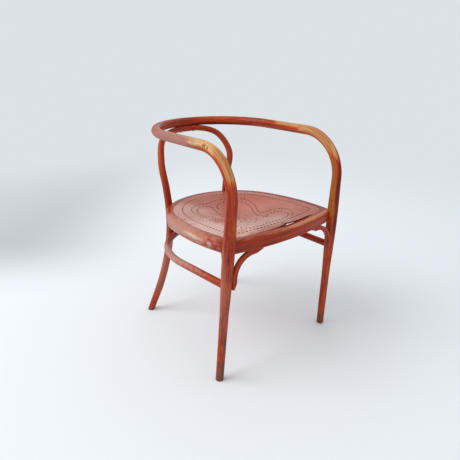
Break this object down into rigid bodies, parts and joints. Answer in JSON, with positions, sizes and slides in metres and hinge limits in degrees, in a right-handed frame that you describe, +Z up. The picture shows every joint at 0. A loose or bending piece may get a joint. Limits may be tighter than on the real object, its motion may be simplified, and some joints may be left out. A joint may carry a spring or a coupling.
{
  "type": "bentwood armchair",
  "caption": "Bentwood armchair: a round back rail runs on into arms and front legs, over a hoop back, a round-backed pierced seat and a bent leg ring.",
  "frame": {"origin": "on the floor, at the middle of the chair's overall width and depth", "axes": "+Z up, the front of the chair towards -Y, +X across the chair"},
  "size_m": [0.5406, 0.5916, 0.765],
  "materials": {
    "stained_wood": "satin red-brown stain, worn through to bare wood in places",
    "seat_veneer": "satin stained plywood veneer with a pale sheen",
    "dark_iron": "dull dark iron"
  },
  "bodies": {
    "root": {"arm_bow": "stained_wood", "back_hoop": "stained_wood", "seat_rim": "stained_wood", "seat_panel": "seat_veneer", "leg_ring": "stained_wood", "bracket_right": "stained_wood", "bracket_left": "stained_wood", "corner_bolts": "dark_iron", "post_bolts": "dark_iron", "post_nuts": "dark_iron", "washers": "dark_iron", "ring_screws": "dark_iron", "hoop_screws": "dark_iron", "bracket_screws": "dark_iron", "panel_pins": "dark_iron"}
  },
  "joints": []
}
